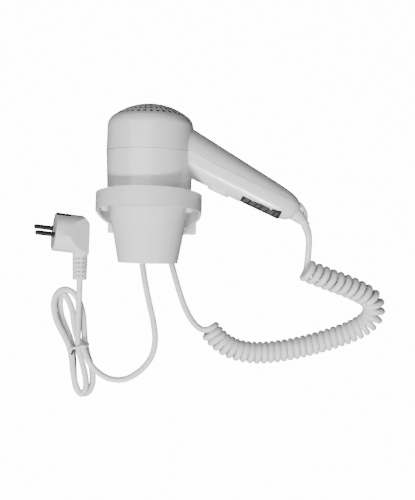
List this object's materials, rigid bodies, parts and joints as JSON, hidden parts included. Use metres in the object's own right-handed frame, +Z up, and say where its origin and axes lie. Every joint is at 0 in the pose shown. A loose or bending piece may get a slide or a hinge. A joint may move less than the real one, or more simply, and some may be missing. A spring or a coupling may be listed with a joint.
{
  "type": "hair dryer",
  "caption": "Wall-mounted hair dryer resting in a ring holder, with a switched handle, a curly lead to the holder and a mains lead with an earthed plug tied in a hank.",
  "frame": {"origin": "midway between the centres of the two wall-screw holes, on the back face of the wall plate", "axes": "+Z up along the wall, +X to the right along the wall towards the dryer's handle, +Y into the wall; the whole part is on the -Y side"},
  "size_m": [0.3456, 0.1151, 0.286],
  "materials": {
    "shell_white": "gloss",
    "button_white": "gloss",
    "guard_white": "satin",
    "loop_clear": "gloss, slightly translucent",
    "bezel_black": "satin",
    "rocker_grey": "satin",
    "switch_case": "matte",
    "screen_mesh": "matte",
    "duct_grey": "matte",
    "fan_grey": "matte",
    "motor_steel": "brushed",
    "bush_bronze": "sintered",
    "winding_copper": "enamelled",
    "mica": "flaky",
    "heater_wire": "oxidised",
    "outlet_black": "matte",
    "thermal_parts": "satin",
    "board_green": "satin",
    "steel_screws": "zinc plated",
    "clamp_grey": "satin",
    "holder_white": "gloss",
    "cradle_grey": "satin",
    "plate_white": "satin",
    "terminal_white": "satin",
    "grommet_white": "satin",
    "mains_white": "satin",
    "tie_white": "satin",
    "plug_white": "satin",
    "pin_metal": "nickel plated",
    "lead_white": "satin"
  },
  "bodies": {
    "holder": {"wall_plate": "plate_white", "holder_body": "holder_white", "cradle_insert": "cradle_grey", "cradle_screws": "steel_screws", "cover_screws": "steel_screws", "terminal_block": "terminal_white", "terminal_screws": "steel_screws", "cord_clamps": "clamp_grey", "clamp_screws": "steel_screws", "mains_grommet": "grommet_white", "lead_grommet": "grommet_white", "plug_body": "plug_white", "plug_pins": "pin_metal", "earth_clips": "pin_metal", "mains_cord_run": "mains_white", "mains_hank": "mains_white", "mains_cord_tail": "mains_white", "cord_tie": "tie_white", "lead_tail_base": "lead_white", "lead_coil": "lead_white"},
    "dryer": {"front_shell": "shell_white", "rear_shell": "shell_white", "strain_relief": "guard_white", "hanging_loop": "loop_clear", "switch_bezel": "bezel_black", "microswitch": "switch_case", "inlet_screen": "screen_mesh", "fan_housing": "duct_grey", "motor_can": "motor_steel", "motor_end_cap": "motor_steel", "motor_bushes": "bush_bronze", "heater_frame": "mica", "heater_sleeve": "mica", "heater_coils": "heater_wire", "outlet_grille": "outlet_black", "thermostat": "thermal_parts", "thermal_fuse": "thermal_parts", "rectifier": "board_green", "shell_screws": "steel_screws", "handle_clamp_screws": "steel_screws", "rocker_pins": "steel_screws", "handle_cord_clamp": "clamp_grey", "lead_tail_handle": "lead_white"},
    "rotor": {"rotor_shaft": "motor_steel", "armature": "winding_copper", "fan": "fan_grey"},
    "button": {"power_button": "button_white", "microswitch_plunger": "switch_case"},
    "speed_switch": {"speed_rocker": "rocker_grey"},
    "heat_switch": {"heat_rocker": "rocker_grey"}
  },
  "joints": [
    {"name": "dryer_lift", "type": "slide", "parent": "holder", "child": "dryer", "axis": [0, 0, 1], "range_m": [0, 0.08]},
    {"name": "fan_spin", "type": "hinge", "parent": "dryer", "child": "rotor", "pos_m": [0, -0.064, 0.06], "axis": [0, 0, 1], "continuous": true},
    {"name": "button_press", "type": "slide", "parent": "dryer", "child": "button", "axis": [0.4067, 0, 0.9135], "range_m": [0, 0.002], "stiffness_N_per_m": 800, "springref_m": -0.002},
    {"name": "speed_tilt", "type": "hinge", "parent": "dryer", "child": "speed_switch", "pos_m": [0.09612, -0.064, 0.01428], "axis": [0, 1, 0], "range_deg": [-8, 8]},
    {"name": "heat_tilt", "type": "hinge", "parent": "dryer", "child": "heat_switch", "pos_m": [0.11281, -0.064, 0.00685], "axis": [0, 1, 0], "range_deg": [-8, 8]}
  ]
}
